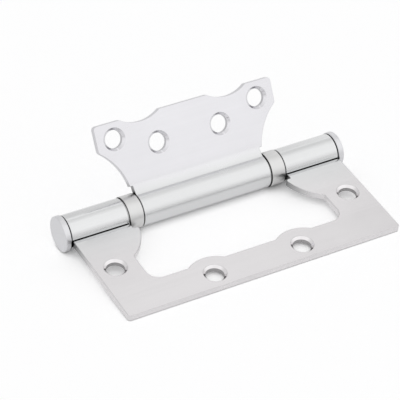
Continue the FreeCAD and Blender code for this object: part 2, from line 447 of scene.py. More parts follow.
@dataclass(frozen=True)
class Roll:
    """Way that a strip of sheet leaves the leaf's plane and rolls round the pin, in millimetres.

    The strip first leans on a wide arc, then turns on a tight bend, then rolls the other way round the pin.
    """

    dip: Dip
    sheet: float = 2.2
    bore: float = 3.45
    bend: float = 2.6
    lean: float = 0.0
    lean_radius: float = 0.0
    lip_gap: float = 0.1
    rule_step: float = 5.0
    bend_rules: int = 6
    lean_rules: int = 5

    def radii(self) -> tuple[float, float, float]:
        """Mid-sheet radii of the wide arc, the tight bend and the roll."""
        return self.lean_radius, self.bend + self.sheet / 2, self.bore + self.sheet / 2

    def turns(self) -> tuple[float, float, float]:
        """Work out the strip's turns.

        The bend's centre stands off the leaf's plane by lean radius - (lean radius - bend radius) * cos(lean),
        and off the pin by the bend's radius plus the roll's, because those two circles touch.

        Returns:
            The turn on the wide arc, the turn on the bend, and the angle round the pin where the roll starts.
        """
        wide, tight, roll = self.radii()
        lean = math.radians(self.lean)
        meet = math.asin((wide - (wide - tight) * math.cos(lean)) / (tight + roll))
        return lean, math.pi / 2 - meet - lean, meet

    def start(self) -> float:
        """Work out where the strip leaves the leaf's plane.

        Returns:
            The distance from the pin along the leaf.
        """
        wide, tight, roll = self.radii()
        lean, _, meet = self.turns()
        return (tight + roll) * math.cos(meet) + (wide - tight) * math.sin(lean)

    def join(self) -> float:
        """Work out where the roll starts.

        Returns:
            The place along the flat sheet.
        """
        wide, tight, _ = self.radii()
        lean, turn, _ = self.turns()
        return self.start() - wide * lean - tight * turn

    def end(self) -> float:
        """Place of the strip's end along the flat sheet, which rolls to within the gap of the leaf's face."""
        lip = math.asin((self.sheet / 2 + self.lip_gap) / (self.bore + self.sheet))
        return self.join() - self.radii()[2] * (2 * math.pi - lip - self.turns()[2])

    def rules(self) -> np.ndarray:
        """Choose where the mesh has an edge straight across the strip.

        Returns:
            Places along the flat sheet, from the strip's end to its start.
        """
        wide, tight, roll = self.radii()
        lean, turn, _ = self.turns()
        step = math.radians(self.rule_step)
        rolled = np.linspace(self.end(), self.join(), int((self.join() - self.end()) / (roll * step)))[1:-1]
        bent = np.linspace(self.join(), self.join() + tight * turn, max(self.bend_rules, int(turn / step)))
        leant = np.linspace(self.start() - wide * lean, self.start(), self.lean_rules)[1:] if lean > 0 else bent[:0]
        return np.concatenate([rolled, bent, leant])

    def curl(self, flat: np.ndarray, normals: np.ndarray) -> tuple[np.ndarray, np.ndarray]:
        """Bend the flat sheet into its leaf.

        Going in from the leaf, the sheet's middle turns by an angle w on the wide arc, by an angle a on the tight
        bend, then the other way by an angle c on a circle round the pin. There the sheet's own directions have
        turned by w + a - c, and a point off its middle stays off it by its height along the turned normal.

        Args:
            flat: Points as (along the pin, place along the sheet, height).
            normals: Their normals.

        Returns:
            Points and normals as (along the pin, distance from the pin along the leaf, height over the leaf's
            plane).
        """
        wide, tight, roll = self.radii()
        lean, turn, meet = self.turns()
        way = self.dip.value
        place, height = flat[:, 1], flat[:, 2]
        gone = self.start() - place
        leant = np.clip(gone / wide, 0.0, lean) if lean > 0 else np.zeros(len(place))
        bent = leant + np.clip((gone - wide * lean) / tight, 0.0, turn)
        ring = np.clip((self.join() - place) / roll, 0.0, None)
        rolled = ring > 0
        inwards = wide * np.sin(leant) + tight * (np.sin(bent) - np.sin(leant))
        aside = wide * (1 - np.cos(leant)) + tight * (np.cos(leant) - np.cos(bent))
        reach = np.where(rolled, roll * np.cos(meet + ring), np.maximum(place, self.start()) - inwards)
        lift = np.where(rolled, roll * np.sin(meet + ring), aside) * way
        heading = bent - ring
        out = np.stack([way * np.sin(heading), np.cos(heading)], axis=1)
        along = np.stack([np.cos(heading), -way * np.sin(heading)], axis=1)
        spot = np.stack([reach, lift], axis=1) + height[:, None] * out
        facing = normals[:, 1:2] * along + normals[:, 2:] * out
        return np.column_stack([flat[:, 0], spot]), np.column_stack([normals[:, 0], facing])


@dataclass(frozen=True)
class ScrewHoles:
    """A mirrored pair of screw holes."""

    spacing: float
    row: float
    bore: float = 3.0
    countersink: float = 3.85
    rim_round: float = 0.1
    throat_round: float = 0.2
    back_round: float = 0.12
    sides: int = 80

    def cuts(self, sheet: float) -> list[Cut]:
        """Make the pair's cuts.

        Args:
            sheet: The sheet's thickness.

        Returns:
            One cut for each hole, countersunk at 45 degrees from the front.
        """
        half = sheet / 2
        depth = self.countersink - self.bore
        corners = (
            (-2, half, 0),
            (-depth, half, self.rim_round),
            (0, half - depth, self.throat_round),
            (0, -half, self.back_round),
            (-1, -half, 0),
        )
        edge = Edge(corners, zones=((0, 1, 0), (0, 0, 1)))
        return [Cut.hole((x, self.row), self.bore, self.sides, edge) for x in (-self.spacing / 2, self.spacing / 2)]


def feed(tree: bpy.types.NodeTree, socket: bpy.types.NodeSocket, value: object) -> None:
    """Link an input where the value is a socket, and set it where it isn't.

    Args:
        tree: The tree of the sockets.
        socket: The input.
        value: A socket to link from, a number, a vector or a colour.
    """
    if isinstance(value, bpy.types.NodeSocket):
        tree.links.new(value, socket)
    else:
        socket.default_value = value


def add_node(
    tree: bpy.types.NodeTree, kind: str, output: object, values: dict[object, object], **settings: object
) -> bpy.types.NodeSocket:
    """Add a shader node.

    Args:
        tree: The tree to add it to.
        kind: The node's type after ShaderNode.
        output: Name or number of the output that is used.
        values: What the inputs take, by their name or number.
        settings: The node's settings, such as its operation.

    Returns:
        The output.
    """
    node = tree.nodes.new("ShaderNode" + kind)
    for name, setting in settings.items():
        setattr(node, name, setting)
    for key, value in values.items():
        feed(tree, node.inputs[key], value)
    return node.outputs[output]


def math_node(tree: bpy.types.NodeTree, operation: str, *values: object, clamp: bool = False) -> bpy.types.NodeSocket:
    """Add a Math node, whose inputs take the values in turn."""
    return add_node(tree, "Math", "Value", dict(enumerate(values)), operation=operation, use_clamp=clamp)


def noise_node(
    tree: bpy.types.NodeTree, vector: bpy.types.NodeSocket, scale: object, detail: float
) -> bpy.types.NodeSocket:
    """Add a Noise Texture node, which gives a number round 0.5."""
    return add_node(tree, "TexNoise", "Fac", {"Vector": vector, "Scale": scale, "Detail": detail})


def combine_node(tree: bpy.types.NodeTree, *parts: object) -> bpy.types.NodeSocket:
    """Add a Combine XYZ node."""
    return add_node(tree, "CombineXYZ", "Vector", dict(enumerate(parts)))


def split_node(tree: bpy.types.NodeTree, vector: bpy.types.NodeSocket) -> bpy.types.bpy_prop_collection:
    """Add a Separate XYZ node and return its outputs."""
    return add_node(tree, "SeparateXYZ", "X", {"Vector": vector}).node.outputs


def dot_node(tree: bpy.types.NodeTree, first: object, second: object) -> bpy.types.NodeSocket:
    """Add the dot product of two vectors."""
    return add_node(tree, "VectorMath", "Value", {0: first, 1: second}, operation="DOT_PRODUCT")


def mix_node(tree: bpy.types.NodeTree, share: object, first: object, second: object) -> bpy.types.NodeSocket:
    """Add a blend of two colours, by the share of the second."""
    values = {MIX_SHARE: share, MIX_FIRST: first, MIX_SECOND: second}
    return add_node(tree, "Mix", MIX_COLOUR, values, data_type="RGBA")


def open_node(tree: bpy.types.NodeTree, reach: object) -> bpy.types.NodeSocket:
    """Add an Ambient Occlusion node: the share of a place's surroundings that is open within a reach in metres."""
    return add_node(tree, "AmbientOcclusion", "AO", {"Distance": reach}, samples=OPEN_SAMPLES)


def trait_node(tree: bpy.types.NodeTree, trait: str) -> bpy.types.NodeSocket:
    """Add a mesh attribute as a vector."""
    return add_node(tree, "Attribute", "Vector", {}, attribute_name=trait)


def new_material(name: str) -> tuple[bpy.types.Material, bpy.types.Node]:
    """Make a material.

    Args:
        name: The material's name.

    Returns:
        The material and its Principled BSDF.
    """
    material = bpy.data.materials.new(name)
    material.use_nodes = True
    return material, material.node_tree.nodes["Principled BSDF"]


class GroupTree:
    """A shader node group while it is being built."""

    def __init__(self, name: str) -> None:
        """Start an empty group.

        Args:
            name: The group's name.
        """
        self.tree = bpy.data.node_groups.new(name, "ShaderNodeTree")
        self.source = self.tree.nodes.new("NodeGroupInput")
        self.sink = self.tree.nodes.new("NodeGroupOutput")

    def take(self, name: str, kind: str = "NodeSocketFloat") -> bpy.types.NodeSocket:
        """Add an input and return its socket inside the group."""
        self.tree.interface.new_socket(name=name, in_out="INPUT", socket_type=kind)
        return self.source.outputs[name]

    def give(self, name: str, value: bpy.types.NodeSocket) -> None:
        """Add an output that puts out the value."""
        self.tree.interface.new_socket(name=name, in_out="OUTPUT", socket_type="NodeSocketFloat")
        self.tree.links.new(value, self.sink.inputs[name])


@dataclass(frozen=True)
class SharedEffect:
    """An effect that several materials use, as a node group that is built once."""

    name: str

    def fill(self, group: GroupTree) -> bpy.types.NodeSocket:
        """Build the effect's inputs and nodes, and return its value."""
        raise NotImplementedError

    def add(self, tree: bpy.types.NodeTree, **inputs: object) -> bpy.types.NodeSocket:
        """Use the effect in a material.

        Args:
            tree: The material's tree.
            inputs: What the group's inputs take.

        Returns:
            The effect's value.
        """
        built = bpy.data.node_groups.get(self.name)
        if built is None:
            group = GroupTree(self.name)
            group.give("Value", self.fill(group))
            built = group.tree
        return add_node(tree, "Group", "Value", inputs, node_tree=built)


@dataclass(frozen=True)
class GrainGroup(SharedEffect):
    """Long fine marks round 0, as abrasive leaves on steel."""

    name: str = "brush_marks"
    coarse_across: float = 420.0
    fine_across: float = 1700.0
    along: float = 14.0
    fine_share: float = 0.5
    detail: float = 2.0

    def fill(self, group: GroupTree) -> bpy.types.NodeSocket:
        """Read noise at two sizes on coordinates that are stretched along X.

        Args:
            group: The group to fill, which gets a Vector input whose X runs along the marks.

        Returns:
            The marks.
        """
        tree = group.tree
        parts = split_node(tree, group.take("Vector", "NodeSocketVector"))
        layers = []
        for across in (self.coarse_across, self.fine_across):
            scales = (self.along, across, across)
            stretched = [math_node(tree, "MULTIPLY", part, scale) for part, scale in zip(parts, scales)]
            noise = noise_node(tree, combine_node(tree, *stretched), 1.0, self.detail)
            layers.append(math_node(tree, "SUBTRACT", noise, 0.5))
        coarse = math_node(tree, "MULTIPLY", layers[0], 1.0 - self.fine_share)
        return math_node(tree, "MULTIPLY_ADD", layers[1], self.fine_share, coarse)


@dataclass(frozen=True)
class HazeGroup(SharedEffect):
    """Soft uneven patches round 0, as handling and rolling leave on sheet."""

    name: str = "soft_haze"
    finer: float = 6.0
    finer_share: float = 0.35
    detail: float = 2.0
    finer_detail: float = 3.0

    def fill(self, group: GroupTree) -> bpy.types.NodeSocket:
        """Lay a finer noise over a broad one.

        Args:
            group: The group to fill, which gets Vector and Scale inputs.

        Returns:
            The haze.
        """
        tree = group.tree
        vector = group.take("Vector", "NodeSocketVector")
        scale = group.take("Scale")
        broad = noise_node(tree, vector, scale, self.detail)
        finer = noise_node(tree, vector, math_node(tree, "MULTIPLY", scale, self.finer), self.finer_detail)
        total = math_node(tree, "MULTIPLY_ADD", finer, self.finer_share, broad)
        return math_node(tree, "SUBTRACT", total, (1.0 + self.finer_share) / 2)


@dataclass(frozen=True)
class EdgeGroup(SharedEffect):
    """Share from 0 to 1 of the broken edges, which the finishes darken partly as wear and partly as painted shade."""

    name: str = "worn_and_shaded_edges"
    samples: int = 4
    gain: float = 4.0

    def fill(self, group: GroupTree) -> bpy.types.NodeSocket:
        """Compare a widened normal with the surface's own.

        Args:
            group: The group to fill, which gets a Reach input in metres.

        Returns:
            The share.
        """
        tree = group.tree
        # Painted shade and wear: the share grows where the widened normal leans from the surface's own.
        widened = add_node(tree, "Bevel", "Normal", {"Radius": group.take("Reach")}, samples=self.samples)
        alike = dot_node(tree, widened, add_node(tree, "NewGeometry", "Normal", {}))
        return math_node(tree, "MULTIPLY", math_node(tree, "SUBTRACT", 1.0, alike), self.gain, clamp=True)


@dataclass(frozen=True)
class GapShadeGroup(SharedEffect):
    """Share from 0 to 1 of the painted shade in narrow gaps and crevices, where little of the surroundings is open."""

    name: str = "painted_gap_shade"
    gain: float = 2.6

    def fill(self, group: GroupTree) -> bpy.types.NodeSocket:
        """Find how much less open a place is than a given share.

        Args:
            group: The group to fill, which gets Reach in metres and Open as that share.

        Returns:
            The share.
        """
        tree = group.tree
        # Painted shade: a place counts as shaded by how little of its surroundings is open.
        around = open_node(tree, group.take("Reach"))
        closed = math_node(tree, "SUBTRACT", group.take("Open"), around)
        return math_node(tree, "MULTIPLY", closed, self.gain, clamp=True)


@dataclass(frozen=True)
class MetalFinish:
    """A metal surface with brush marks, soft haze, worn and shaded edges, and painted shade in its gaps."""

    name: str
    colour: tuple[float, float, float]
    tint: tuple[float, float, float]
    roughness: float
    lay: Lay = Lay.ROUND_PIN
    mark_tone: float = 0.05
    mark_depth: float = 0.000004
    haze_tone: float = 0.5
    haze_scale: float = 45.0
    haze_roughness: float = 0.10
    haze_level: float = 0.04
    edge_lift: float = -0.10
    edge_reach: float = 0.0003
    gap_shade: float = 0.85
    gap_reach: float = 0.0008
    gap_open: float = 0.52

    def marks_vector(self, tree: bpy.types.NodeTree, pin: PinLine) -> bpy.types.NodeSocket:
        """Coordinates whose X runs along the marks.

        Args:
            tree: The material's tree.
            pin: The pin's axis, which round marks follow.

        Returns:
            The length round the pin, the distance from its axis and the place along it, or the object's own
            coordinates where the marks have no direction.
        """
        place = add_node(tree, "TexCoord", "Object", {})
        if self.lay is Lay.NONE:
            return place
        parts = split_node(tree, place)
        y = math_node(tree, "SUBTRACT", parts["Y"], pin.y)
        z = math_node(tree, "SUBTRACT", parts["Z"], pin.z)
        square = math_node(tree, "MULTIPLY", y, y)
        distance = math_node(tree, "SQRT", math_node(tree, "MULTIPLY_ADD", z, z, square))
        length = math_node(tree, "MULTIPLY", math_node(tree, "ARCTAN2", z, y), pin.radius)
        return combine_node(tree, length, distance, parts["X"])

    def worked(
        self, tree: bpy.types.NodeTree, level: bpy.types.NodeSocket, rough: bpy.types.NodeSocket
    ) -> tuple[bpy.types.NodeSocket, bpy.types.NodeSocket]:
        """Change the tone's level and the roughness where the piece was worked. A plain piece stays as it is."""
        return level, rough

    def coloured(self, tree: bpy.types.NodeTree, colour: bpy.types.NodeSocket) -> bpy.types.NodeSocket:
        """Change the colour where the piece was worked. A plain piece stays as it is."""
        return colour

    def build(self, pin: PinLine) -> bpy.types.Material:
        """Make the material.

        Args:
            pin: The pin's axis.

        Returns:
            The material, with the marks in its tone and bump, the haze in its colour, tone and roughness, and the
            darkened edges and the painted shade of the gaps in its tone.
        """
        material, shader = new_material(self.name)
        tree = material.node_tree
        marks = GrainGroup().add(tree, Vector=self.marks_vector(tree, pin))
        haze = HazeGroup().add(tree, Vector=add_node(tree, "TexCoord", "Object", {}), Scale=self.haze_scale)
        edge = EdgeGroup().add(tree, Reach=self.edge_reach)
        gap = GapShadeGroup().add(tree, Reach=self.gap_reach, Open=self.gap_open)

        blend = math_node(tree, "MULTIPLY_ADD", haze, self.haze_tone, 0.5, clamp=True)
        patchy = mix_node(tree, blend, (*self.colour, 1.0), (*self.tint, 1.0))
        level: object = 1.0
        # edge_lift darkens the broken edges, partly as wear and partly as painted shade.
        for effect, amount in ((marks, self.mark_tone), (haze, self.haze_level), (edge, self.edge_lift)):
            level = math_node(tree, "MULTIPLY_ADD", effect, amount, level)
        rough = math_node(tree, "MULTIPLY_ADD", haze, self.haze_roughness, self.roughness)
        level, rough = self.worked(tree, level, rough)
        # Painted shade: gap_shade darkens the tone where the gap group finds a narrow gap or crevice.
        clear = math_node(tree, "MULTIPLY_ADD", gap, -self.gap_shade, 1.0)
        shade = math_node(tree, "MULTIPLY", level, clear)
        toned = {0: self.coloured(tree, patchy), "Scale": shade}
        inputs = {
            "Metallic": 1.0,
            "Base Color": add_node(tree, "VectorMath", "Vector", toned, operation="SCALE"),
            "Roughness": rough,
            "Normal": add_node(tree, "Bump", "Normal", {"Distance": self.mark_depth, "Height": marks}),
        }
        for name, value in inputs.items():
            feed(tree, shader.inputs[name], value)
        return material


@dataclass(frozen=True)
class SheetFinish(MetalFinish):
    """Finish of a stamped leaf, which differs on its sheared edges, in its screw holes and round its knuckles."""

    shear_shade: float = 0.0
    shear_rough: float = 0.05
    sink_shade: float = -0.06
    sink_rough: float = -0.14
    bore_shade: float = 0.45
    bore_rough: float = 0.05
    roll_start: float = 0.0074
    roll_fade: float = 0.0008
    roll_shade: float = 0.05
    roll_rough: float = -0.03
    painted_seam_shade: float = 0.75
    roll_colour: tuple[float, float, float] = (0.735, 0.740, 0.745)

    def marks_vector(self, tree: bpy.types.NodeTree, pin: PinLine) -> bpy.types.NodeSocket:
        """Place on the flat sheet before it was rolled, so that the marks follow the knuckles."""
        return trait_node(tree, PLACE_TRAIT)

    def rolled(self, tree: bpy.types.NodeTree) -> bpy.types.NodeSocket:
        """Share of the rolled strip, 1 round the knuckle and falling to 0 over roll_fade onto the leaf."""
        short = math_node(tree, "SUBTRACT", self.roll_start, split_node(tree, trait_node(tree, PLACE_TRAIT))["Y"])
        return math_node(tree, "DIVIDE", short, self.roll_fade, clamp=True)

    def coloured(self, tree: bpy.types.NodeTree, colour: bpy.types.NodeSocket) -> bpy.types.NodeSocket:
        """Give the rolled strip its own colour."""
        return mix_node(tree, self.rolled(tree), colour, (*self.roll_colour, 1.0))

    def worked(
        self, tree: bpy.types.NodeTree, level: bpy.types.NodeSocket, rough: bpy.types.NodeSocket
    ) -> tuple[bpy.types.NodeSocket, bpy.types.NodeSocket]:
        """Shade and smooth each worked zone by its own amount.

        Args:
            tree: The material's tree.
            level: The tone's level so far, round 1.
            rough: The roughness so far.

        Returns:
            The level and the roughness, changed on sheared edges, countersinks, bores and the rolled strip, and
            darkened on the strip's own sheared ends by painted shade in the seams.
        """
        zones = split_node(tree, trait_node(tree, ZONE_TRAIT))
        rolled = self.rolled(tree)
        changes = (
            (zones["X"], self.shear_shade, self.shear_rough),
            # Painted shade: the rolled strip's sheared ends are darkened as the seams next to them.
            (math_node(tree, "MULTIPLY", zones["X"], rolled), self.painted_seam_shade, 0.0),
            (zones["Y"], self.sink_shade, self.sink_rough),
            # Painted shade: the bores of the screw holes are darkened inside.
            (zones["Z"], self.bore_shade, self.bore_rough),
            (rolled, self.roll_shade, self.roll_rough),
        )
        for share, shade, change in changes:
            level = math_node(tree, "MULTIPLY_ADD", share, -shade, level)
            rough = math_node(tree, "MULTIPLY_ADD", share, change, rough)
        return level, rough


@dataclass(frozen=True)
class FloorFinish:
    """A plain pale floor with the hinge's soft shadow, partly cast by the lamps and partly painted into its glow."""

    name: str = "floor"
    colour: tuple[float, float, float] = (0.93, 0.93, 0.935)
    roughness: float = 0.9
    glow: float = 0.545
    mirrored_glow: float = 0.46
    shade_reach: float = 0.008
    shade_gain: float = 2.0

    def build(self) -> bpy.types.Material:
        """Make the material.

        Returns:
            A matt material that glows a little to the camera and in the metal, with painted shadow near the hinge.
        """
        material, shader = new_material(self.name)
        tree = material.node_tree
        path = add_node(tree, "LightPath", "Is Camera Ray", {}).node.outputs
        mirrored = math_node(tree, "MULTIPLY", path["Is Glossy Ray"], self.mirrored_glow)
        seen = math_node(tree, "MULTIPLY_ADD", path["Is Camera Ray"], self.glow, mirrored)
        # Painted shadow: the glow falls where little of the floor's surroundings is open, close to the hinge.
        lit = math_node(tree, "MULTIPLY", open_node(tree, self.shade_reach), self.shade_gain, clamp=True)
        inputs = {
            "Base Color": (*self.colour, 1.0),
            "Roughness": self.roughness,
            "Specular IOR Level": 0.0,
            "Emission Color": WHITE,
            "Emission Strength": math_node(tree, "MULTIPLY", seen, lit),
        }
        for name, value in inputs.items():
            feed(tree, shader.inputs[name], value)
        return material


def dress_node(node: str, material: bpy.types.Material) -> None:
    """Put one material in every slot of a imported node.

    Args:
        node: The node's name.
        material: The material.
    """
    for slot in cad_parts[node].material_slots:
        slot.material = material
    LOG.info("dressed %s with %s", node, material.name)


@dataclass(frozen=True)
class WingShape:
    """Outline that the inner leaf's wings and the outer leaf's cut-out share, in millimetres."""

    half_width: float = 32.95
    reach: float = 30.1
    neck: float = 8.05
    neck_half: float = 24.825
    wing_radius: float = 21.3
    wing_drop: float = 3.75
    dip_radius: float = 13.05
    dip_depth: float = 2.23
    dip_place: float = 16.14

    def wing_centre(self) -> tuple[float, float]:
        """Centre of the arc under the wing."""
        run = math.sqrt(self.wing_radius ** 2 - self.wing_drop ** 2)
        return self.neck_half + run, self.neck - self.wing_drop

    def dip_centre(self) -> tuple[float, float]:
        """Centre of the dip that clears a screw hole of the outer leaf."""
        return self.dip_place, self.reach - self.dip_depth + self.dip_radius


@dataclass
class Leaf:
    """A leaf cut from one flat sheet, with its rolled knuckles, in millimetres."""

    finish: MetalFinish
    roll: Roll
    holes: tuple[ScrewHoles, ...]
    shape: WingShape
    edge_round: float = 0.2
    notch_round: float = 0.25
    end_round: float = 0.2
    chord: float = 1.3
    steps: int = 6

    def half_outline(self) -> np.ndarray:
        """Right half of the outline, as rows of place along the pin, place along the sheet, and corner radius."""
        raise NotImplementedError

    def flat_sheet(self) -> Surface:
        """Cut the leaf's flat sheet.

        Returns:
            The sheet, from its mirrored outline and its holes.
        """
        half = self.half_outline()
        outline = np.concatenate([half, half[::-1] * (-1, 1, 1)])
        path, heading = round_path(outline[:, :2], outline[:, 2], True, self.steps)
        cuts = [Cut(path, heading, Edge.sheared(self.roll.sheet / 2, self.edge_round))]
        for pair in self.holes:
            cuts += pair.cuts(self.roll.sheet)
        return cut_sheet(cuts, self.roll.rules())

    def strip_side(self, x: float, near: float, upwards: bool) -> np.ndarray:
        """One side of a knuckle's strip, with a point at each rule of the mesh.

        Args:
            x: Place along the pin.
            near: Radius at the corner where the strip ends.
            upwards: True where the path runs from the strip's end to the leaf.

        Returns:
            Rows of place along the pin, place along the sheet, and corner radius.
        """
        rules = self.roll.rules()
        rules = rules[rules < self.shape.neck - self.notch_round]
        places = np.concatenate([[self.roll.end()], rules])
        rounds = np.concatenate([[near], np.zeros(len(rules))])
        rows = np.column_stack([np.full(len(places), x), places, rounds])
        return rows if upwards else rows[::-1]

    def build_turned(self, pin: PinLine, turn: np.ndarray, node: str) -> None:
        """Bend the flat sheet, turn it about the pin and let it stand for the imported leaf.

        Args:
            pin: The pin's axis.
            turn: The turn as a matrix, from the leaf's own directions to the row frame's.
            node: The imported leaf, which is also its body.
        """
        sheet = self.flat_sheet()
        points, normals = self.roll.curl(sheet.points, sheet.normals)
        sheet.points = points @ turn.T + np.array([0, pin.y, pin.z]) / MM
        sheet.normals = normals @ turn.T
        stand_for(sheet.build(node + "_sheet", self.finish.build(pin)), node, "leaf_steel", node)


def with_rounds(points: np.ndarray, first: float, last: float) -> np.ndarray:
    """Give an arc's points the radii of the corners at its two ends.

    Args:
        points: Array of points by 2.
        first: Radius at the first point.
        last: Radius at the last point.

    Returns:
        Rows of the two places and the radius.
    """
    rounds = np.zeros(len(points))
    rounds[0], rounds[-1] = first, last
    return np.column_stack([points, rounds])


@dataclass
class InnerLeaf(Leaf):
    """The leaf that nests in the cut-out, with the middle knuckle."""

    knuckle_half: float = 23.825
    rest_angle: float = 56.3
    shoulder_round: float = 1.5
    corner_round: float = 1.2
    dip_round: float = 0.5

    def half_outline(self) -> np.ndarray:
        """Draw the outline's right half, from the knuckle's end round the wing to the dip in the far edge.

        Returns:
            Rows of place along the pin, place along the sheet, and corner radius.
        """
        shape = self.shape
        wing_x, wing_y = shape.wing_centre()
        dip_x, dip_y = shape.dip_centre()
        lowest = math.asin((shape.neck - wing_y) / shape.wing_radius)
        highest = math.acos((wing_x - shape.half_width) / shape.wing_radius)
        rules = self.roll.rules()
        levels = rules[rules > shape.neck] - wing_y
        also = math.pi - np.arcsin(levels / (shape.wing_radius + self.edge_round))
        wing = arc_points((wing_x, wing_y), shape.wing_radius, math.pi - lowest, math.pi - highest, self.chord, also)
        half_dip = math.acos((dip_y - shape.reach) / shape.dip_radius)
        down = -math.pi / 2
        dip = arc_points((dip_x, dip_y), shape.dip_radius, down + half_dip, down - half_dip, self.chord)
        return np.concatenate([
            self.strip_side(self.knuckle_half, self.end_round, True),
            [[self.knuckle_half, shape.neck, self.notch_round]],
            with_rounds(wing, self.notch_round, self.shoulder_round),
            [[shape.half_width, shape.reach, self.corner_round]],
            with_rounds(dip, self.dip_round, self.dip_round),
        ])

    def build(self, pin: PinLine) -> None:
        """Make the leaf, turned up from the outer leaf's plane by its angle at rest.

        Args:
            pin: The pin's axis.
        """
        angle = math.radians(self.rest_angle)
        turn = np.array([[1, 0, 0], [0, math.cos(angle), -math.sin(angle)], [0, math.sin(angle), math.cos(angle)]])
        self.build_turned(pin, turn, "inner_leaf")


@dataclass
class OuterLeaf(Leaf):
    """The leaf with the cut-out and the two end knuckles."""

    half_length: float = 50.0
    reach: float = 43.5
    neck: float = 8.2
    knuckle_start: float = 29.575
    side_gap: float = 2.6
    end_gap: float = 2.0
    corner_round: float = 1.0
    cutout_round: float = 4.3
    ear_round: float = 0.9
    bump_round: float = 0.5

    def half_outline(self) -> np.ndarray:
        """Draw the outline's right half, from the cut-out's far edge round its ear and knuckle to the free edge.

        Returns:
            Rows of place along the pin, place along the sheet, and corner radius.
        """
        shape = self.shape
        far = shape.reach + self.end_gap
        side = shape.half_width + self.side_gap
        ear_x, ear_y = shape.wing_centre()
        ear_radius = shape.wing_radius - self.side_gap
        bump_x, bump_y = shape.dip_centre()
        bump_radius = shape.dip_radius - self.end_gap
        half_bump = math.acos((bump_y - far) / bump_radius)
        down = -math.pi / 2
        bump = arc_points((bump_x, bump_y), bump_radius, down - half_bump, down + half_bump, self.chord)
        top = math.pi - math.acos((ear_x - side) / ear_radius)
        tip = math.pi - math.asin((self.neck - ear_y) / ear_radius)
        ear = arc_points((ear_x, ear_y), ear_radius, top, tip, self.chord)
        return np.concatenate([
            with_rounds(bump, self.bump_round, self.bump_round),
            [[side, far, self.cutout_round]],
            with_rounds(ear, self.ear_round, self.ear_round),
            [[self.knuckle_start, self.neck, self.notch_round]],
            self.strip_side(self.knuckle_start, self.end_round, False),
            self.strip_side(self.half_length, self.end_round, True),
            [[self.half_length, self.reach, self.corner_round]],
        ])

    def build(self, pin: PinLine) -> None:
        """Make the leaf, with its free edge on the -Y side of the pin."""
        self.build_turned(pin, np.diag([-1.0, -1.0, 1.0]), "outer_leaf")


@dataclass
class PinParts:
    """The pin and the flat caps that close the barrel, in millimetres."""

    pin_finish: MetalFinish
    cap_finish: MetalFinish
    inner_face: float = 50.25
    outer_face: float = 52.35
    cap_radius: float = 5.95
    rim_round: float = 0.4
    lip_round: float = 0.4
    spigot_radius: float = 3.43
    spigot_length: float = 3.0
    root_round: float = 0.1
    tip_round: float = 0.2
    centre_radius: float = 0.8

    def cap(self) -> Turning:
        """Draw the cap on the +X side.

        Returns:
            Its profile, from its face over the rim to the end of its spigot.
        """
        end = self.inner_face - self.spigot_length
        return Turning(
            corners=(
                (self.outer_face, self.centre_radius, 0),
                (self.outer_face, self.cap_radius, self.rim_round),
                (self.inner_face, self.cap_radius, self.lip_round),
                (self.inner_face, self.spigot_radius, self.root_round),
                (end, self.spigot_radius, self.tip_round),
                (end, self.centre_radius, 0),
            ),
            ring=False,
            steps=8,
        )

    def build(self, pin: PinLine) -> None:
        """Dress the pin and make the caps.

        Args:
            pin: The pin's axis.
        """
        dress_node("hinge_pin", self.pin_finish.build(pin))
        material = self.cap_finish.build(pin)
        right = self.cap().surface(pin.y / MM, pin.z / MM)
        for side, surface in zip(SIDES, (right.mirrored(), right)):
            thing = surface.build("cap_" + side, material)
            stand_for(thing, "outer_leaf", "cap_steel", "end_cap_" + side)


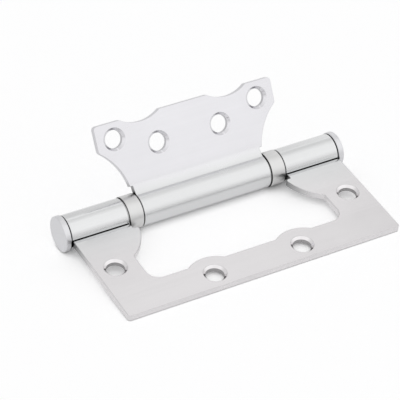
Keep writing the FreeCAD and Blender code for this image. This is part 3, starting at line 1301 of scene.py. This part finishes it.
@dataclass
class BearingParts:
    """The two ball bearings between the knuckles, in millimetres."""

    sleeve_finish: MetalFinish
    race_finish: MetalFinish
    ball_finish: MetalFinish
    cage_finish: MetalFinish
    sleeve_start: float = 24.275
    sleeve_end: float = 29.125
    sleeve_radius: float = 5.85
    sleeve_wall: float = 0.5
    sleeve_round: float = 0.12
    bore_round: float = 0.05
    ball_plane: float = 26.7
    pitch_radius: float = 4.35
    ball_radius: float = 0.65
    ball_count: int = 7
    ball_rings: int = 16
    ball_sides: int = 24
    pole_angle: float = 0.08
    pocket_radius: float = 0.68
    pocket_sides: int = 32
    cage_thickness: float = 0.5
    cage_wall: float = 0.15
    cage_round: float = 0.04
    cage_sides: int = 96

    def sleeve(self) -> Turning:
        """Draw the plain ring that covers the right bearing.

        Returns:
            Its profile, a closed ring.
        """
        inner = self.sleeve_radius - self.sleeve_wall
        return Turning(
            corners=(
                (self.sleeve_start, inner, self.bore_round),
                (self.sleeve_end, inner, self.bore_round),
                (self.sleeve_end, self.sleeve_radius, self.sleeve_round),
                (self.sleeve_start, self.sleeve_radius, self.sleeve_round),
            ),
            ring=True,
        )

    def ball_centres(self) -> np.ndarray:
        """Centres of the balls round the pin, evenly spaced."""
        angle = 2 * np.pi * np.arange(self.ball_count) / self.ball_count
        return on_circle(self.pitch_radius, angle)

    def balls(self, pin: PinLine) -> Surface:
        """Turn each ball about its own centre line.

        The profile's point at angle a is the ball's radius times (cos(a), sin(a)), from near one pole to near
        the other, where flat faces close it.

        Args:
            pin: The pin's axis.

        Returns:
            All the balls of the right bearing.
        """
        angle = np.linspace(self.pole_angle, np.pi - self.pole_angle, self.ball_rings)
        profile = np.column_stack([on_circle(self.ball_radius, angle), np.zeros(self.ball_rings)])
        profile[:, 0] += self.ball_plane
        turning = Turning(corners=tuple(map(tuple, profile)), ring=False, sides=self.ball_sides)
        centres = self.ball_centres() + np.array([pin.y, pin.z]) / MM
        return Surface.joined([turning.surface(y, z) for y, z in centres])

    def cage(self, pin: PinLine) -> Surface:
        """Cut the cage as a flat ring with round pockets, and stand it square to the pin.

        Args:
            pin: The pin's axis.

        Returns:
            The cage of the right bearing.
        """
        edge = Edge.sheared(self.cage_thickness / 2, self.cage_round, steps=2)
        rim = self.pocket_radius + self.cage_wall
        whole = np.linspace(0.0, 2 * np.pi, self.cage_sides, endpoint=False)
        cuts = [Cut(on_circle(self.pitch_radius + rim, whole), whole + np.pi / 2, edge)]
        cuts.append(Cut.hole((0, 0), self.pitch_radius - rim, self.cage_sides, edge))
        cuts += [Cut.hole(centre, self.pocket_radius, self.pocket_sides, edge) for centre in self.ball_centres()]
        flat = cut_sheet(cuts, NO_VALUES)
        stood = np.roll(flat.points, 1, axis=1) + np.array([self.ball_plane, pin.y / MM, pin.z / MM])
        return Surface(stood, np.roll(flat.normals, 1, axis=1), flat.corners, flat.sizes)

    def build(self, pin: PinLine) -> None:
        """Make the rings, balls and cages, and dress the races.

        Args:
            pin: The pin's axis.
        """
        surfaces = (self.sleeve().surface(pin.y / MM, pin.z / MM), self.balls(pin), self.cage(pin))
        finishes = (self.sleeve_finish, self.race_finish, self.ball_finish, self.cage_finish)
        ring_metal, race_metal, ball_metal, cage_metal = (finish.build(pin) for finish in finishes)
        for side in SIDES:
            ring, balls, cage = surfaces if side == "right" else (surface.mirrored() for surface in surfaces)
            stand_for(ring.build("ring_" + side, ring_metal), "outer_leaf", "ring_steel", "bearing_sleeve_" + side)
            names = ["ball_%s_%d" % (side, count + 1) for count in range(self.ball_count)]
            stand_for(balls.build("balls_" + side, ball_metal), side + "_ball_set", "ball_steel", *names)
            stand_for(cage.build("cage_" + side, cage_metal), side + "_ball_set", "cage_brass", "ball_cage_" + side)
            dress_node("outer_race_" + side, race_metal)
            dress_node("inner_race_" + side, race_metal)


@dataclass
class SoftBox:
    """A large square lamp that looks at the hinge."""

    name: str
    place: tuple[float, float, float]
    width: float
    watts: float

    def build(self) -> None:
        """Make the lamp, turned to the row frame's origin."""
        data = bpy.data.lights.new(self.name, "AREA")
        data.size = self.width
        data.energy = self.watts
        lamp = new_object(self.name, data)
        lamp.location = self.place
        lamp.rotation_euler = (-lamp.location).to_track_quat("-Z", "Y").to_euler()


@dataclass(frozen=True)
class Panel:
    """A soft paler or darker part of the surroundings that the metal mirrors.

    Each fade is a direction, and the values of its dot product with the mirrored direction at which the panel is
    gone and whole.
    """

    level: float
    fades: tuple[tuple[tuple[float, float, float], float, float], ...]

    def build(self, tree: bpy.types.NodeTree, direction: bpy.types.NodeSocket) -> bpy.types.NodeSocket:
        """Add the panel's nodes.

        Args:
            tree: The world's tree.
            direction: The mirrored direction.

        Returns:
            What the panel adds to the surroundings' strength there.
        """
        share: object = self.level
        for way, gone, whole in self.fades:
            inputs = {"Value": dot_node(tree, direction, way), "From Min": gone, "From Max": whole}
            fade = add_node(tree, "MapRange", "Result", inputs, interpolation_type="SMOOTHSTEP")
            share = math_node(tree, "MULTIPLY", fade, share)
        return share


@dataclass
class Studio:
    """Floor, lamps, surroundings and camera."""

    floor_finish: FloorFinish
    lamps: tuple[SoftBox, ...]
    panels: tuple[Panel, ...]
    floor_half: float = 1.6
    floor_drop: float = 0.00002
    sky_light: float = 0.47
    sky_seen: float = 1.0
    sky_mirrored: float = 0.85
    lens: float = 190.55
    sensor: float = 36.0
    camera_place: tuple[float, float, float] = (-0.290015, -0.418643, 0.454288)
    camera_degrees: tuple[float, float, float] = (48.921, -4.429, -29.504)

    def build_floor(self, pin: PinLine) -> None:
        """Lay the floor under the hinge, touching the end caps and the outer leaf's free edge.

        The floor is the plane through the leaf's lowest outer edge that is tangent to the caps from below, so
        its slope turns the line from that edge to the pin by asin(cap radius / distance).

        Args:
            pin: The pin's axis.
        """
        leaf_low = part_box("outer_leaf")[0]
        cap_low, cap_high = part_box("end_cap_left")
        cap_radius = (cap_high.z - cap_low.z) / 2
        run = pin.y - leaf_low.y
        rise = pin.z
        slope = math.asin(cap_radius / math.hypot(run, rise)) - math.atan2(rise, run)
        along = np.array([-self.floor_half, self.floor_half])
        x, y = np.meshgrid(along, along, indexing="ij")
        z = -(y - leaf_low.y) * math.tan(slope) - self.floor_drop
        points = np.stack([x, y, z], axis=-1).reshape(-1, 3)
        mesh = bpy.data.meshes.new("floor")
        mesh.from_pydata(points.tolist(), [], [(0, 2, 3, 1)])
        mesh.materials.append(self.floor_finish.build())
        floor = new_object("floor", mesh)
        LOG.info("floor slopes by %.2f degrees", math.degrees(slope))

    def build_sky(self) -> None:
        """Make the surroundings: pale where they are seen or mirrored, and softer as a light."""
        world = bpy.data.worlds.new("surroundings")
        world.use_nodes = True
        tree = world.node_tree
        path = add_node(tree, "LightPath", "Is Camera Ray", {}).node.outputs
        direction = add_node(tree, "TexCoord", "Generated", {})
        mirrored: object = self.sky_mirrored - self.sky_light
        for panel in self.panels:
            mirrored = math_node(tree, "ADD", panel.build(tree, direction), mirrored)
        extra = math_node(tree, "MULTIPLY", mirrored, path["Is Glossy Ray"])
        gain = self.sky_seen - self.sky_light
        seen = math_node(tree, "MULTIPLY_ADD", path["Is Camera Ray"], gain, self.sky_light)
        background = tree.nodes["Background"]
        feed(tree, background.inputs["Strength"], math_node(tree, "ADD", seen, extra))
        feed(tree, background.inputs["Color"], WHITE)
        bpy.context.scene.world = world

    def build_camera(self) -> None:
        """Stand the camera where the photograph was taken from."""
        data = bpy.data.cameras.new("camera")
        data.lens = self.lens
        data.sensor_width = self.sensor
        camera = new_object("camera", data)
        camera.location = self.camera_place
        camera.rotation_euler = [math.radians(a) for a in self.camera_degrees]
        bpy.context.scene.camera = camera

    def build(self, pin: PinLine) -> None:
        """Build the whole studio.

        Args:
            pin: The pin's axis.
        """
        bpy.context.scene.view_settings.view_transform = "Standard"
        self.build_floor(pin)
        self.build_sky()
        self.build_camera()
        for lamp in self.lamps:
            lamp.build()


# Painted shade on the outer leaf: edge_lift draws dark lines along its edges, and roll_start with roll_fade carries the
# knuckle's darker, greener tone some 12 mm onto the plate as painted shade and reflection near the barrel.
OUTER_SATIN = SheetFinish(
    name="outer_leaf_steel", colour=(0.716, 0.699, 0.710), tint=(0.728, 0.713, 0.719), roughness=0.22, mark_tone=0.10,
    edge_lift=-0.85, edge_reach=0.00035, gap_shade=0.92, gap_open=0.68, shear_shade=-0.04, roll_start=0.0190,
    roll_fade=0.0116, haze_level=0.10,
)
# The inner leaf is the same steel as the outer leaf; its lighter colour is partly painted light.
INNER_SATIN = SheetFinish(
    name="inner_leaf_steel", colour=(0.752, 0.746, 0.775), tint=(0.768, 0.762, 0.785), roughness=0.28, mark_tone=0.06,
    bore_shade=0.30, sink_shade=0.07, shear_shade=0.12, roll_start=0.0100, roll_fade=0.0045, gap_shade=0.92,
    gap_open=0.70, haze_level=0.10,
)
# The ring's wide gap reach paints shade on its underside next to the outer leaf's ear.
SATIN_SLEEVE = MetalFinish(
    name="ring_steel", colour=(0.675, 0.677, 0.675), tint=(0.695, 0.690, 0.685), roughness=0.34, mark_tone=0.08,
    gap_shade=0.92, gap_reach=0.0030, gap_open=0.88,
)
# The cap's gap reach paints shade in its seam and at its corner beside the outer leaf.
SATIN_CAP = MetalFinish(
    name="cap_steel", colour=(0.69, 0.69, 0.71), tint=(0.71, 0.71, 0.725), roughness=0.32, gap_shade=0.9,
    gap_reach=0.0012, gap_open=0.85,
)
GROUND_PIN = MetalFinish(name="pin_steel", colour=(0.60, 0.60, 0.61), tint=(0.62, 0.62, 0.62), roughness=0.22)
HARD_RACE = MetalFinish(name="race_steel", colour=(0.56, 0.56, 0.57), tint=(0.58, 0.58, 0.58), roughness=0.18)
POLISHED_BALL = MetalFinish(
    name="ball_steel", colour=(0.76, 0.76, 0.77), tint=(0.78, 0.78, 0.78), roughness=0.07, lay=Lay.NONE,
    mark_tone=0.0, mark_depth=0.0,
)
PLAIN_BRASS = MetalFinish(name="cage_brass", colour=(0.72, 0.53, 0.26), tint=(0.68, 0.50, 0.26), roughness=0.30)

FRONT_WALL = Panel(level=0.28, fades=(((0.0, -1.0, 0.0), -0.55, 0.12), ((0.0, 0.0, 1.0), 0.02, 0.40)))
BACK_WINDOW = Panel(
    level=0.38,
    fades=(
        ((-0.804, 0.595, 0.0), -0.024, 0.001),
        ((0.804, -0.595, 0.0), -0.12, -0.055),
        ((0.0, 1.0, 0.0), 0.15, 0.40),
        ((0.0, 0.0, 1.0), 0.54, 0.74),
    ),
)
SIDE_WINDOW = Panel(level=0.28, fades=(((0.0, 1.0, 0.0), 0.595, 0.615), ((1.0, 0.0, 0.0), 0.455, 0.475)))
FAR_TABLE = Panel(
    level=-0.48, fades=(((0.0, 0.0, -1.0), -0.13, -0.01), ((0.0, -1.0, 0.0), 0.2, 0.7), ((0.0, 0.0, 1.0), -0.16, -0.02))
)


def main() -> None:
    """Build and dress every part of the hinge, then the studio round it."""
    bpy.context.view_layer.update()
    pin = PinLine.from_frame()
    LOG.info("pin line at y %.5f z %.5f", pin.y, pin.z)
    outer_holes = (ScrewHoles(86.66, 22.13), ScrewHoles(32.28, 37.58))
    OuterLeaf(OUTER_SATIN, Roll(Dip.TO_BACK, lip_gap=-0.2), outer_holes, WingShape()).build(pin)
    inner_roll = Roll(Dip.TO_FRONT, bend=0.5, lean=38.0, lean_radius=6.77, lip_gap=-0.53)
    inner_holes = (ScrewHoles(53.06, 24.5), ScrewHoles(23.02, 19.59))
    InnerLeaf(INNER_SATIN, inner_roll, inner_holes, WingShape(reach=30.04)).build(pin)
    PinParts(GROUND_PIN, SATIN_CAP).build(pin)
    BearingParts(SATIN_SLEEVE, HARD_RACE, POLISHED_BALL, PLAIN_BRASS).build(pin)
    lamps = (SoftBox("top_lamp", (0.55, -0.75, 1.25), 1.5, 0.35),)
    Studio(FloorFinish(), lamps, (FRONT_WALL, BACK_WINDOW, SIDE_WINDOW, FAR_TABLE)).build(pin)


if __name__ == "__main__":
    main()
